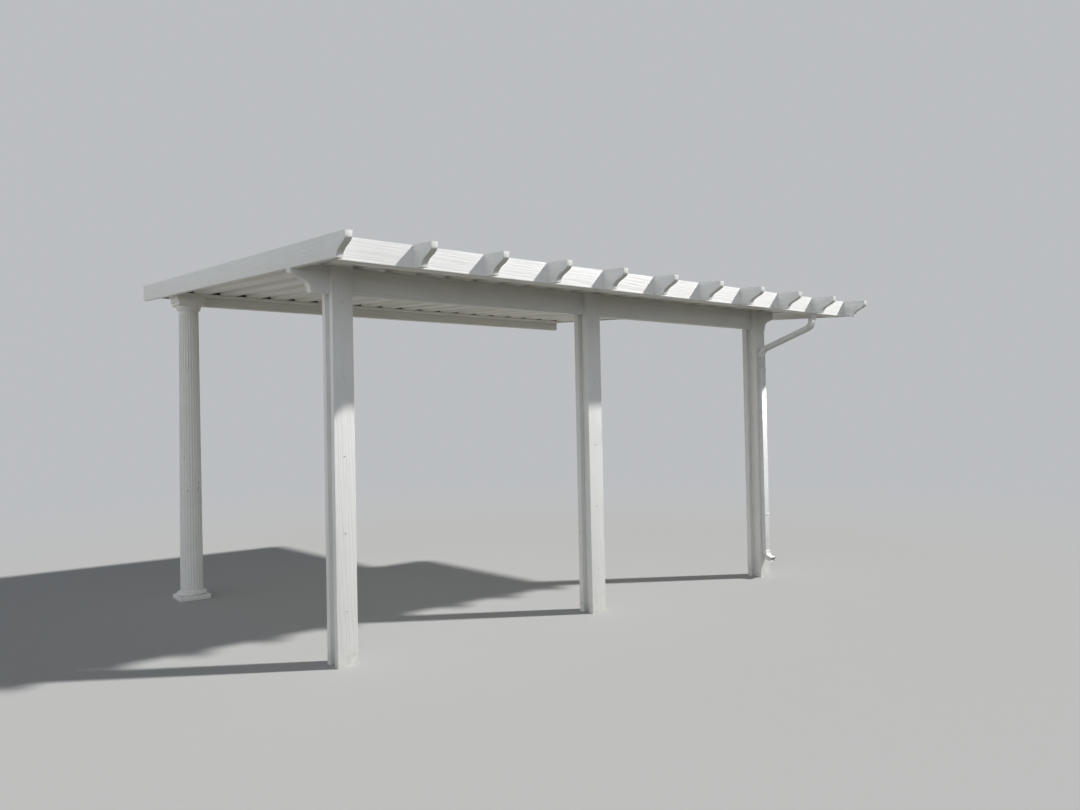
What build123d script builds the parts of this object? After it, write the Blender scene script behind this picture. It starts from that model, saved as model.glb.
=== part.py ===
from build123d import *
import os
from math import atan, cos, degrees, pi, sin, sqrt

# A free-standing patio pergola of white aluminium extrusions. X runs along the front beam,
# Y from the gutter to the high rear edge and Z up. The origin is on the ground, under the
# middle of the whole outline. All sizes are in millimetres.

# Overall layout
roof_depth = 4876.8          # gutter face to rear edge
short_roof_depth = 2323.0    # gutter face to rear edge at the notched corner
notch_offset = 5450.0        # left side to the edge of the notch
roof_slope = 0.068           # rise for each unit of run towards the rear
beam_top = 2968.0            # where the pans rest on the front beam

# Two by six and a half inch profile of the tails, side fascias and post plates
profile_width = 165.1
profile_thick = 50.8

# Rafter tails on the gutter
tail_pitch = 609.6
tail_bays = 10
first_bay_extra = 25.0       # the left side fascia stands this much further out
tail_reach = 250.0
# Scroll under a tail's tip: drop of the nose, run and drop of the toe, then how far the curve
# is held upright at the nose and at the toe
tail_scroll = (36.0, 128.0, 152.0, 46.0, 61.0)
end_tail_seat = 97.0         # the two end tails run this far behind the gutter's face
fascia_seam = 0.8            # open seam between an end tail and its side fascia

# Posts
post_pitch = 2512.0
post_count = 3
first_post_offset = 379.0    # left side to the first post's centre line
gutter_to_post = 606.0       # gutter face to the front face of the posts
core_width = 76.2
core_cap_thick = 6.0
core_cap_rim = 4.0
plate_edge_round = 3.0

# Front beam
beam_height = 203.2
beam_thick = 76.2
beam_right_reach = 321.0     # last post's centre line to the tip of the right scroll
beam_scroll = (48.0, 155.0, 200.0, 66.0, 128.0)   # as for the tails
splice_gap = 1.0

# Gutter extrusion
gutter_width = 116.0
gutter_wall = 3.0
gutter_lip_reach = 8.0
gutter_lip_height = 9.0
gutter_flange = 22.0
gutter_return = 18.0
pan_above_fascia_bottom = 42.0

# Ribbed roof pans
rib_pitch = 272.8
rib_base = 120.0
rib_crown = 56.0
rib_height = 60.0
pan_thick = 2.0
first_rib_offset = 149.2     # left fascia's inner face to the first rib's centre
deep_rib_count = 20
ribs_per_sheet = 4
short_rib_count = 2
pan_overhang = 28.0          # pans reach this far into the gutter

# Edge trims of the roof
trim_thick = 2.0
trim_flange = 26.0
trim_cover = 4.0             # height of a trim above the ribs
hanger_flange = 38.0

# Rear header and the lip over it
lip_to_rear = 1001.8         # front edge of the lip to the rear edge of the roof
lip_behind_header = 10.0
lip_thick = 20.0
header_height = 96.0
header_thick = 76.2
header_end_gap = 190.0       # header's right end to the edge of the notch

# Column
column_offset = 240.0        # left side to the column's axis
lip_over_block = 6.0         # the lip stands this far in front of the cap block
block_width = 280.0
block_height = 68.0
abacus_width = 256.0
abacus_height = 38.0
abacus_ease = 6.0            # chamfer along the abacus' lower edges
bell_top_radius = 120.0
bell_foot_radius = 104.0
bell_height = 48.0
neck_height = 46.0
quirk = 3.0                  # narrow step between the neck and the bell
plinth_width = 302.0
plinth_height = 43.0
torus_radius = 148.0
torus_height = 38.0
cove_height = 14.0           # hollow moulding between the torus and the shaft
cove_reach = 13.0
shaft_bottom_radius = 112.0
shaft_top_radius = 97.0
flute_count = 24
flute_radius = 11.0
flute_offset = 4.5           # the flute's centre lies this far outside the shaft
turned_steps = 6             # facets along each quarter of a moulding

# Downspout
pipe_width = 84.0
pipe_depth = 48.0
pipe_wall = 1.5
pipe_left_of_centre = 10.0   # pipe's axis beside the last post's centre line
outlet_offset = 5590.0       # left side to the outlet's centre
outlet_drop = 36.0
outlet_rim = 12.0
outlet_rim_thick = 2.0
bend_radius = 95.0
pipe_top = 2450.0            # where the offset meets the straight pipe
offset_foot = 68.0           # the lower bend's corner above the pipe
shoe_top = 300.0
shoe_radius = 72.0
shoe_turn = 72.0             # degrees from straight down
shoe_lead = 38.0             # straight stretch behind the mouth
shoe_neck = 14.0             # straight stretch above the bend
bend_steps = 4               # facets in each bend
strap_width = 26.0
strap_thick = 1.6
strap_ear = 24.0
strap_heights = (2300.0, 700.0)

# Cutting bodies reach this far past what they cut
cut_margin = 5.0

# Values worked out from the sizes above
overall_width = first_bay_extra + tail_bays * tail_pitch + profile_thick
overall_depth = tail_reach + roof_depth
left_x = -overall_width / 2
right_x = overall_width / 2
nose_y = -overall_depth / 2
gutter_y = nose_y + tail_reach
rear_y = overall_depth / 2
short_rear_y = gutter_y + short_roof_depth
post_y = gutter_y + gutter_to_post
beam_y = post_y + profile_thick
beam_rear_y = beam_y + beam_thick
pitch_angle = degrees(atan(roof_slope))
inner_left_x = left_x + profile_thick
inner_right_x = right_x - profile_thick
notch_x = left_x + notch_offset
seam_y = gutter_y + end_tail_seat
fascia_drop = profile_width * sqrt(1 + roof_slope ** 2)


def roof_z(y):
    """Height of the pans' flat underside at depth y."""
    return beam_top + roof_slope * (y - beam_y)


def fascia_top_z(y):
    """Height of the top of the side fascias and tails at depth y."""
    return roof_z(y) - pan_above_fascia_bottom + fascia_drop


def block(x0, x1, y0, y1, z0, z1):
    """Rectangular block between two corners."""
    return Pos((x0 + x1) / 2, (y0 + y1) / 2, (z0 + z1) / 2) * Box(x1 - x0, y1 - y0, z1 - z0)


def above_roof(y0, y1, x0, x1):
    """Prism of the space just above the pans' underside, for trimming what ends under it."""
    rise = 4 * cut_margin
    corners = [(y0, roof_z(y0)), (y1, roof_z(y1)), (y1, roof_z(y1) + rise), (y0, roof_z(y0) + rise)]
    side = make_face(Plane.YZ * Polyline(*corners, close=True))
    return Pos(x0, 0, 0) * extrude(side, amount=x1 - x0, dir=(1, 0, 0))


def profile_bar(x0, x1, outline):
    """Prism along X of a closed outline given as (y, z) corners."""
    face = make_face(Plane.YZ * Polyline(*outline, close=True))
    return Pos(x0, 0, 0) * extrude(face, amount=x1 - x0, dir=(1, 0, 0))


def scroll_side(length, height, scroll):
    """Side view of a scroll-cut member: tip at (0, 0), top edge level, ogee under the tip.

    The ogee leaves the nose straight down, swells, turns hollow and meets the toe
    straight down again."""
    nose_drop, toe_run, toe_drop, nose_hold, toe_hold = scroll
    nose = (0, -nose_drop)
    toe = (toe_run, -toe_drop)
    ogee = Bezier(nose, (0, -nose_drop - nose_hold), (toe_run, toe_hold - toe_drop), toe)
    straight = Polyline(toe, (toe_run, -height), (length, -height), (length, 0), (0, 0), nose)
    return make_face([ogee] + straight.edges())


def scroll_tail(x0, rear_limit):
    """Scroll-cut profile that follows the roof's slope and ends at an upright heel."""
    length = rear_limit - nose_y + profile_width
    side = scroll_side(length, profile_width, tail_scroll)
    board = extrude(Plane.YZ * side, amount=profile_thick, dir=(1, 0, 0))
    board = Pos(x0, nose_y, fascia_top_z(nose_y)) * (Rot(pitch_angle, 0, 0) * board)
    beyond = block(x0 - cut_margin, x0 + profile_thick + cut_margin, rear_limit, rear_limit + length,
                   0, 2 * beam_top)
    return board - beyond


def side_fascia(x0, y0, y1):
    """Plain length of the same profile along one side of the roof, with upright ends."""
    return profile_bar(x0, x0 + profile_thick, [
        (y0, fascia_top_z(y0) - fascia_drop), (y1, fascia_top_z(y1) - fascia_drop),
        (y1, fascia_top_z(y1)), (y0, fascia_top_z(y0))])


# Posts: a square core between two upright profiles, which run up past the beam to the pans

def post_centre(i):
    return left_x + first_post_offset + i * post_pitch


def post_plate(i, y0):
    centre = post_centre(i)
    plate = block(centre - profile_width / 2, centre + profile_width / 2, y0, y0 + profile_thick,
                  0, roof_z(y0 + profile_thick) + cut_margin)
    plate = fillet(plate.edges().filter_by(Axis.Z), plate_edge_round)
    return plate - above_roof(y0 - cut_margin, y0 + profile_thick + cut_margin,
                              centre - profile_width, centre + profile_width)


def post_core(i):
    centre = post_centre(i)
    top = beam_top - beam_height
    y_mid = beam_y + beam_thick / 2
    tube = Pos(centre, y_mid, (top - core_cap_thick) / 2) * Box(core_width, core_width, top - core_cap_thick)
    tube = fillet(tube.edges().filter_by(Axis.Z), plate_edge_round)
    cap = Pos(centre, y_mid, top - core_cap_thick / 2) * Box(
        core_width + 2 * core_cap_rim, core_width, core_cap_thick)
    return tube + cap


# Front beam, in two lengths that meet over the middle post

def front_beam():
    tip_left = left_x
    tip_right = post_centre(post_count - 1) + beam_right_reach
    splice = post_centre(post_count // 2)
    length = (tip_right - tip_left) / 2
    side = scroll_side(length, beam_height, beam_scroll)
    half = Pos(0, beam_thick, 0) * extrude(Plane.XZ * side, amount=beam_thick, dir=(0, -1, 0))
    left_half = Pos(tip_left, beam_y, beam_top) * half
    right_half = Pos(tip_right, beam_y, beam_top) * mirror(half, Plane.YZ)
    front = beam_y - cut_margin
    back = beam_rear_y + cut_margin
    low = beam_top - beam_height - cut_margin
    high = beam_top + cut_margin
    whole = left_half + right_half - side_fascia(left_x, front, back)
    left_part = whole - block(splice - splice_gap / 2, tip_right + cut_margin, front, back, low, high)
    right_part = whole - block(tip_left - cut_margin, splice + splice_gap / 2, front, back, low, high)
    return left_part, right_part


# Gutter: one extrusion with a plain face, a bead along its foot, a trough and a rear flange

gutter_bottom = fascia_top_z(gutter_y) - profile_width
gutter_back_y = gutter_y + gutter_width


def gutter():
    y0 = gutter_y
    z0 = gutter_bottom
    z1 = z0 + profile_width
    t = gutter_wall
    back = gutter_back_y
    flange_end = back + gutter_flange
    outline = [
        (y0 - gutter_lip_reach, z0), (back, z0),
        (back, roof_z(back) - t), (flange_end, roof_z(flange_end) - t),
        (flange_end, roof_z(flange_end)), (back - t, roof_z(back - t)),
        (back - t, z0 + t), (y0 + t, z0 + t),
        (y0 + t, z1 - t), (y0 + gutter_return, z1 - t),
        (y0 + gutter_return, z1), (y0, z1),
        (y0, z0 + gutter_lip_height), (y0 - gutter_lip_reach, z0 + gutter_lip_height)]
    bar = profile_bar(inner_left_x, inner_right_x, outline)
    hole = Pos(outlet_x, outlet_y, z0) * Box(pipe_width - 2 * pipe_wall, pipe_depth - 2 * pipe_wall, 6 * t)
    return bar - hole


def tail(i):
    """Rafter tail, cut back at its heel to pass over the gutter's bead."""
    x0 = left_x + first_bay_extra + i * tail_pitch
    member = scroll_tail(x0, gutter_y)
    bead = block(x0 - cut_margin, x0 + profile_thick + cut_margin,
                 gutter_y - gutter_lip_reach, gutter_y + cut_margin,
                 gutter_bottom - cut_margin, gutter_bottom + gutter_lip_height)
    return member - bead


# Roof pans: flat strips between raised ribs, open from below

def rib_points(centre, inner):
    """Four corners of one rib, on its inner or outer skin, from left to right."""
    lean = (rib_base - rib_crown) / 2 / rib_height
    if inner:
        low_half = rib_base / 2
        low = 0.0
    else:
        low_half = rib_base / 2 - lean * pan_thick + pan_thick * sqrt(1 + lean ** 2)
        low = pan_thick
    high_half = low_half - lean * rib_height
    high = low + rib_height
    return [(centre - low_half, low), (centre - high_half, high),
            (centre + high_half, high), (centre + low_half, low)]


def pan_sheet(x0, x1, rib_centres, y0, y1):
    under = [(x0, 0.0)]
    for centre in rib_centres:
        under += rib_points(centre, inner=True)
    under.append((x1, 0.0))
    over = [(x1, pan_thick)]
    for centre in reversed(rib_centres):
        over += reversed(rib_points(centre, inner=False))
    over.append((x0, pan_thick))
    section = make_face(Polyline(*under, *over, close=True))
    upright = Plane(origin=(0, y0, roof_z(y0)), x_dir=(1, 0, 0), z_dir=(0, -1, 0))
    run = y1 - y0
    return extrude(upright * section, amount=run * sqrt(1 + roof_slope ** 2), dir=(0, 1, roof_slope))


first_rib_x = inner_left_x + first_rib_offset
pan_front_y = gutter_back_y - pan_overhang
deep_rear_y = rear_y - trim_thick
short_pan_rear_y = short_rear_y - trim_thick


def rib_x(j):
    return first_rib_x + j * rib_pitch


def deep_sheets():
    sheets = []
    for start in range(0, deep_rib_count, ribs_per_sheet):
        count = min(ribs_per_sheet, deep_rib_count - start)
        x0 = inner_left_x if start == 0 else rib_x(start - 0.5)
        x1 = notch_x - trim_thick if start + count == deep_rib_count else rib_x(start + count - 0.5)
        centres = [rib_x(start + k) for k in range(count)]
        sheets.append(pan_sheet(x0, x1, centres, pan_front_y, deep_rear_y))
    return sheets


def short_sheet():
    centres = [rib_x(deep_rib_count + k) for k in range(short_rib_count)]
    return pan_sheet(notch_x - trim_thick, inner_right_x, centres, pan_front_y, short_pan_rear_y)


# Trims that close the high ends of the pans and the side of the notch

def end_trim(x0, x1, back_y, flange, below):
    """Channel across the pans' ends: an upright back with a flange under the pans."""
    face_y = back_y - trim_thick
    top = roof_z(back_y) + rib_height + trim_cover + pan_thick
    outline = [
        (face_y - flange, roof_z(face_y - flange) - below), (back_y, roof_z(back_y) - below),
        (back_y, top), (face_y - flange, top - roof_slope * flange),
        (face_y - flange, top - roof_slope * flange - trim_thick), (face_y, top - trim_thick),
        (face_y, roof_z(face_y)), (face_y - flange, roof_z(face_y - flange))]
    return profile_bar(x0, x1, outline)


def notch_side_trim():
    """Upright edge strip beside the notch, over the cut side of the deep pans."""
    y0 = short_rear_y
    y1 = deep_rear_y - hanger_flange
    low = -trim_thick
    high = rib_height + pan_thick + trim_cover
    corners = [
        (notch_x - trim_thick - trim_flange, low), (notch_x, low), (notch_x, high),
        (notch_x - trim_thick, high), (notch_x - trim_thick, 0), (notch_x - trim_thick - trim_flange, 0)]
    section = make_face(Polyline(*corners, close=True))
    upright = Plane(origin=(0, y0, roof_z(y0)), x_dir=(1, 0, 0), z_dir=(0, -1, 0))
    return extrude(upright * section, amount=(y1 - y0) * sqrt(1 + roof_slope ** 2), dir=(0, 1, roof_slope))


# Rear header under the pans, with the wide lip that also covers the column's cap block

lip_y = rear_y - lip_to_rear
column_x = left_x + column_offset
column_y = lip_y + lip_over_block + block_width / 2
lip_bottom = roof_z(lip_y) - lip_thick
header_y = column_y - header_thick / 2
lip_rear_y = header_y + header_thick + lip_behind_header
header_end_x = notch_x - header_end_gap


def header_lip():
    outline = [
        (lip_y, lip_bottom), (lip_rear_y, lip_bottom),
        (lip_rear_y, roof_z(lip_rear_y)), (lip_y, roof_z(lip_y))]
    return profile_bar(inner_left_x, header_end_x, outline)


def rear_header():
    bar = block(column_x + block_width / 2, header_end_x, header_y, header_y + header_thick,
                lip_bottom - header_height, lip_bottom)
    return fillet(bar.edges().filter_by(Axis.X).group_by(Axis.Z)[0], plate_edge_round)


# Column: turned base on a square plinth, fluted and tapered shaft, turned capital, square block

block_bottom = lip_bottom - block_height
bell_top = block_bottom - abacus_height
neck_top = bell_top - bell_height
shaft_top = neck_top - neck_height
torus_top = plinth_height + torus_height
shaft_bottom = torus_top + cove_height


def quarter(centre, reach, rise, start):
    """Points along a quarter of an ellipse in the (radius, height) plane, start in degrees."""
    angles = [(start + 90 * k / turned_steps) * pi / 180 for k in range(turned_steps + 1)]
    return [(centre[0] + reach * cos(a), centre[1] + rise * sin(a)) for a in angles]


def turned(profile):
    """Solid of revolution about the column's axis from points up its outside."""
    outline = [(0, profile[0][1])] + profile + [(0, profile[-1][1])]
    face = make_face(Plane.XZ * Polyline(*outline, close=True))
    return Pos(column_x, column_y, 0) * revolve(face, Axis.Z)


def column_base():
    """Square plinth, full round torus and a hollow that runs up to the shaft."""
    plinth = Pos(column_x, column_y, plinth_height / 2) * Box(plinth_width, plinth_width, plinth_height)
    bulge = torus_height / 2
    centre = (torus_radius - bulge, plinth_height + bulge)
    profile = quarter(centre, bulge, bulge, -90) + quarter(centre, bulge, bulge, 0)[1:]
    rim = shaft_bottom_radius + cove_reach
    profile += quarter((rim, shaft_bottom), cove_reach, cove_height, 180)[::-1]
    return plinth + turned(profile)


def fluted_disc(radius):
    disc = Circle(radius)
    for k in range(flute_count):
        disc -= Rot(0, 0, 360 * k / flute_count) * Pos(radius + flute_offset, 0) * Circle(flute_radius)
    return disc


def column_shaft():
    low = Pos(column_x, column_y, shaft_bottom) * fluted_disc(shaft_bottom_radius)
    high = Pos(column_x, column_y, shaft_top) * fluted_disc(shaft_top_radius)
    return loft([low, high], ruled=True)


def column_capital():
    """Neck that flares gently from the shaft, with a swelling bell under the square abacus."""
    flare = bell_foot_radius - quirk - shaft_top_radius
    profile = quarter((shaft_top_radius + flare, shaft_top), flare, neck_height, 90)[::-1]
    profile += quarter((bell_foot_radius, bell_top), bell_top_radius - bell_foot_radius, bell_height, -90)
    return turned(profile)


def cap_block():
    """Square block under the lip, with a smaller square abacus under it."""
    abacus = Pos(0, 0, (bell_top + block_bottom) / 2) * Box(abacus_width, abacus_width, abacus_height)
    abacus = chamfer(abacus.edges().group_by(Axis.Z)[0], abacus_ease)
    body = Pos(0, 0, (block_bottom + lip_bottom) / 2) * Box(block_width, block_width, block_height)
    return Pos(column_x, column_y, 0) * (abacus + body)


# Downspout: outlet in the gutter's floor, offset back to the last post, pipe and kicked-out shoe

outlet_x = left_x + outlet_offset
outlet_y = gutter_y + gutter_width / 2
pipe_x = post_centre(post_count - 1) - pipe_left_of_centre
pipe_y = post_y - pipe_depth / 2


def pipe_section(centre, along, shrink=0.0):
    """Rectangular section across a run, with its wide side kept as near to X as it can be."""
    along = along.normalized()
    wide = (Vector(1, 0, 0) - along * along.dot(Vector(1, 0, 0))).normalized()
    plane = Plane(origin=centre, x_dir=wide, z_dir=along)
    return plane * Rectangle(pipe_width - 2 * shrink, pipe_depth - 2 * shrink)


def bend(corner, way_in, way_out, radius):
    """Centres and directions along an arc that rounds the corner of two straight runs."""
    turn = way_in.get_angle(way_out) * pi / 180
    inward = (way_out - way_in * way_in.dot(way_out)).normalized()
    start = corner - way_in * (radius * sin(turn / 2) / cos(turn / 2))
    pivot = start + inward * radius
    stops = []
    for k in range(bend_steps + 1):
        angle = turn * k / bend_steps
        place = pivot - inward * (radius * cos(angle)) + way_in * (radius * sin(angle))
        stops.append((place, way_in * cos(angle) + inward * sin(angle)))
    return stops


def pipe_through(stops, shrink=0.0):
    faces = [pipe_section(place, along, shrink) for place, along in stops]
    return loft(faces, ruled=True)


down = Vector(0, 0, -1)


def gutter_outlet():
    """Drop tube under the gutter with a thin rim seated on its underside."""
    rim = Pos(outlet_x, outlet_y, gutter_bottom - outlet_rim_thick / 2) * Box(
        pipe_width + 2 * outlet_rim, pipe_depth + 2 * outlet_rim, outlet_rim_thick)
    middle = Pos(outlet_x, outlet_y, gutter_bottom - outlet_drop / 2)
    tube = middle * Box(pipe_width, pipe_depth, outlet_drop)
    hole = middle * Box(
        pipe_width - 2 * pipe_wall, pipe_depth - 2 * pipe_wall, outlet_drop + cut_margin)
    return rim + tube - hole


def downspout_offset():
    top = Vector(outlet_x, outlet_y, gutter_bottom - outlet_drop)
    upper = top + down * bend_radius
    lower = Vector(pipe_x, pipe_y, pipe_top + offset_foot)
    run = (lower - upper).normalized()
    stops = [(top, down)] + bend(upper, down, run, bend_radius)
    stops += bend(lower, run, down, bend_radius)
    stops.append((Vector(pipe_x, pipe_y, pipe_top), down))
    return pipe_through(stops) - pipe_through(stops, pipe_wall)


def downspout_pipe():
    outer = block(pipe_x - pipe_width / 2, pipe_x + pipe_width / 2, pipe_y - pipe_depth / 2,
                  pipe_y + pipe_depth / 2, shoe_top, pipe_top)
    inner = Pos(pipe_x, pipe_y, (shoe_top + pipe_top) / 2) * Box(
        pipe_width - 2 * pipe_wall, pipe_depth - 2 * pipe_wall, pipe_top - shoe_top + cut_margin)
    return outer - inner


def downspout_shoe():
    """Foot of the pipe, which kicks the water out in front of the post."""
    top = Vector(pipe_x, pipe_y, shoe_top)
    turn = shoe_turn * pi / 180
    kick = Vector(0, -sin(turn), -cos(turn))
    tangent = shoe_radius * sin(turn / 2) / cos(turn / 2)
    corner = top + down * (shoe_neck + tangent)
    mouth = corner + kick * (tangent + shoe_lead)
    stops = [(top, down)] + bend(corner, down, kick, shoe_radius) + [(mouth, kick)]
    return pipe_through(stops) - pipe_through(stops, pipe_wall)


def strap(z):
    """Band round the pipe, with an ear on each side that lies on the post."""
    half_out = pipe_width / 2 + strap_thick
    front = post_y - pipe_depth - strap_thick
    wrap = block(pipe_x - half_out, pipe_x + half_out, front, post_y,
                 z - strap_width / 2, z + strap_width / 2)
    room = block(pipe_x - pipe_width / 2, pipe_x + pipe_width / 2, post_y - pipe_depth, post_y + cut_margin,
                 z - strap_width, z + strap_width)
    ears = block(pipe_x - half_out - strap_ear, pipe_x + half_out + strap_ear, post_y - strap_thick, post_y,
                 z - strap_width / 2, z + strap_width / 2)
    return wrap + ears - room


def make_parts():
    parts = {}
    for i in range(post_count):
        name = "post_%d" % (i + 1)
        parts[name + "_front_plate"] = post_plate(i, post_y)
        parts[name + "_rear_plate"] = post_plate(i, beam_rear_y)
        parts[name + "_core"] = post_core(i)
    parts["front_beam_left"], parts["front_beam_right"] = front_beam()
    parts["gutter"] = gutter()
    for i in range(1, tail_bays):
        parts["rafter_tail_%d" % i] = tail(i)
    parts["end_tail_left"] = scroll_tail(left_x, seam_y)
    parts["end_tail_right"] = scroll_tail(inner_right_x, seam_y)
    parts["side_fascia_left"] = side_fascia(left_x, seam_y + fascia_seam, rear_y)
    parts["side_fascia_right"] = side_fascia(inner_right_x, seam_y + fascia_seam, short_rear_y)
    for k, sheet in enumerate(deep_sheets()):
        parts["roof_pans_%d" % (k + 1)] = sheet
    parts["roof_pans_short"] = short_sheet()
    parts["rear_hanger"] = end_trim(inner_left_x, notch_x, rear_y, hanger_flange, trim_thick)
    parts["short_roof_closure"] = end_trim(notch_x, inner_right_x, short_rear_y, trim_flange, trim_thick)
    parts["notch_side_trim"] = notch_side_trim()
    parts["header_lip"] = header_lip()
    parts["rear_header"] = rear_header()
    parts["column_base"] = column_base()
    parts["column_shaft"] = column_shaft()
    parts["column_capital"] = column_capital()
    parts["column_cap_block"] = cap_block()
    parts["gutter_outlet"] = gutter_outlet()
    parts["downspout_offset"] = downspout_offset()
    parts["downspout_pipe"] = downspout_pipe()
    parts["downspout_shoe"] = downspout_shoe()
    parts["downspout_straps"] = Compound(children=[s for z in strap_heights for s in strap(z).solids()])
    return parts


os.makedirs("parts", exist_ok=True)
for node, shape in make_parts().items():
    export_step(shape, "parts/%s.step" % node)
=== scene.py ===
import math

import bmesh
import bpy
from mathutils import Matrix, Vector


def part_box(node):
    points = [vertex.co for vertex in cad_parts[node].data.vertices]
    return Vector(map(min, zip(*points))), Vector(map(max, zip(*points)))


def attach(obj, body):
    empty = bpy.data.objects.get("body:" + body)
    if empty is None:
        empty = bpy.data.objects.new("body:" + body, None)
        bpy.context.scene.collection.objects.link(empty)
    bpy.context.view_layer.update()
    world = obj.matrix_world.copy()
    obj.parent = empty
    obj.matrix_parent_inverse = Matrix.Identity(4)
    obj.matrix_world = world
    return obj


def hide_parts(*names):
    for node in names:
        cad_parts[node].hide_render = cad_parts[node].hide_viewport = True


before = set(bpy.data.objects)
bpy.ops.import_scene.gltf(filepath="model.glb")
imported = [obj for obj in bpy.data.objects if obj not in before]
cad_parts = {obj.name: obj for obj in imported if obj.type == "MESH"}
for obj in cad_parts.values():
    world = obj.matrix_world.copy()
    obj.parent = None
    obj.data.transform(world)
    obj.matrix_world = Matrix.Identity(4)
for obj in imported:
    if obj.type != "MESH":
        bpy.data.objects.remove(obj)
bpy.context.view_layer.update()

# A white aluminium patio pergola under ribbed roof pans. Every length is in metres.

body = "root"
scene = bpy.context.scene
roof_slope = 0.068           # rise for each unit of run towards the rear


# Colours of paint, metal, foam and dirt; one grey also serves as painted shade

frame_white = (0.86, 0.86, 0.85)
pan_white = (0.80, 0.795, 0.77)
pan_stain = (0.56, 0.54, 0.49)
column_white = (0.83, 0.825, 0.81)
chipped_brown = (0.22, 0.20, 0.18)
downspout_white = (0.83, 0.83, 0.82)
screw_white = (0.74, 0.735, 0.72)
worn_metal = (0.42, 0.39, 0.35)
sealant_grey = (0.62, 0.61, 0.58)
silt_brown = (0.36, 0.33, 0.29)
foam_black = (0.022, 0.021, 0.020)
foam_dust = (0.075, 0.068, 0.058)
dust_brown = (0.46, 0.41, 0.34)
# grey of rain stains, also used as painted shade on faces that look up
stain_and_shade_grey = (0.60, 0.59, 0.56)


# Helpers that put a finish together, node by node

def new_material(name):
    """A bare material with its node tree and its shader."""
    material = bpy.data.materials.new(name)
    material.use_nodes = True
    tree = material.node_tree
    tree.nodes.clear()
    output = tree.nodes.new("ShaderNodeOutputMaterial")
    shader = tree.nodes.new("ShaderNodeBsdfPrincipled")
    tree.links.new(shader.outputs["BSDF"], output.inputs["Surface"])
    return material, tree, shader


def object_space(tree, scale=(1.0, 1.0, 1.0), pitch=0.0):
    """Object coordinates, laid level where a member is pitched, then stretched."""
    place = tree.nodes.new("ShaderNodeTexCoord")
    vector = place.outputs["Object"]
    if pitch:
        level = tree.nodes.new("ShaderNodeMapping")
        level.inputs["Rotation"].default_value = (-pitch, 0.0, 0.0)
        tree.links.new(vector, level.inputs["Vector"])
        vector = level.outputs["Vector"]
    stretch = tree.nodes.new("ShaderNodeMapping")
    stretch.inputs["Scale"].default_value = scale
    tree.links.new(vector, stretch.inputs["Vector"])
    return stretch.outputs["Vector"]


def coordinate(tree, kind, axis):
    """One axis of a place or direction, such as Object or Normal."""
    place = tree.nodes.new("ShaderNodeTexCoord")
    parts = tree.nodes.new("ShaderNodeSeparateXYZ")
    tree.links.new(place.outputs[kind], parts.inputs["Vector"])
    return parts.outputs[axis]


def noise(tree, space, scale, detail=3.0, roughness=0.5):
    """Noise over a piece, with its scale per metre of the given space."""
    texture = tree.nodes.new("ShaderNodeTexNoise")
    texture.inputs["Scale"].default_value = scale
    texture.inputs["Detail"].default_value = detail
    texture.inputs["Roughness"].default_value = roughness
    tree.links.new(space, texture.inputs["Vector"])
    return texture.outputs["Fac"]


def spread(tree, value, low, high, to_low=0.0, to_high=1.0):
    """Maps low..high of a value to to_low..to_high, held at the ends."""
    ramp = tree.nodes.new("ShaderNodeMapRange")
    ramp.inputs["From Min"].default_value = low
    ramp.inputs["From Max"].default_value = high
    ramp.inputs["To Min"].default_value = to_low
    ramp.inputs["To Max"].default_value = to_high
    tree.links.new(value, ramp.inputs["Value"])
    return ramp.outputs["Result"]


def combine(tree, operation, first, second):
    """One step of arithmetic on two values, each of them a socket or a number."""
    maths = tree.nodes.new("ShaderNodeMath")
    maths.operation = operation
    for socket, value in zip(maths.inputs, (first, second)):
        if isinstance(value, (int, float)):
            socket.default_value = value
        else:
            tree.links.new(value, socket)
    return maths.outputs["Value"]


def tint(tree, share, clean, stained):
    """Clean paint where share is 0, stained paint where it is 1."""
    mix = tree.nodes.new("ShaderNodeMix")
    mix.data_type = "RGBA"
    tree.links.new(share, mix.inputs["Factor"])
    for socket, colour in ((mix.inputs[6], clean), (mix.inputs[7], stained)):
        if isinstance(colour, tuple):
            socket.default_value = (*colour, 1.0)
        else:
            tree.links.new(colour, socket)
    return mix.outputs[2]


def bump(tree, shader, height, strength, distance):
    """Relief in a surface, as high as a pattern says."""
    relief = tree.nodes.new("ShaderNodeBump")
    relief.inputs["Strength"].default_value = strength
    relief.inputs["Distance"].default_value = distance
    tree.links.new(height, relief.inputs["Height"])
    tree.links.new(relief.outputs["Normal"], shader.inputs["Normal"])


def clouds(tree, space, scale, low, high, most=1.0):
    """Soft stains: none where the noise is under low, most where it is over high."""
    pattern = noise(tree, space, scale, detail=4.0, roughness=0.6)
    return spread(tree, pattern, low, high, 0.0, most)


def specks(tree, space, scale, low, high, most=1.0):
    """Finer and rougher spots, set as clouds are."""
    pattern = noise(tree, space, scale, detail=5.0, roughness=0.65)
    return spread(tree, pattern, low, high, 0.0, most)


def uneven_gloss(tree, shader, space, scale, shiny, dull):
    """Roughness that wanders between two values over the paint."""
    roughness = spread(tree, noise(tree, space, scale), 0.3, 0.7, shiny, dull)
    tree.links.new(roughness, shader.inputs["Roughness"])


def dirty_foot(tree, colour, dirt, clean_from, dirty_below=0.0):
    """Brown dirt near the ground: none from one height up, all of it below another."""
    near_ground = spread(tree, coordinate(tree, "Object", "Z"), clean_from, dirty_below)
    return tint(tree, combine(tree, "MULTIPLY", near_ground, dirt), colour, dust_brown)


washed_share = 0.55          # share of the top darkening, dust and painted shade, that stays where the rain has run


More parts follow.
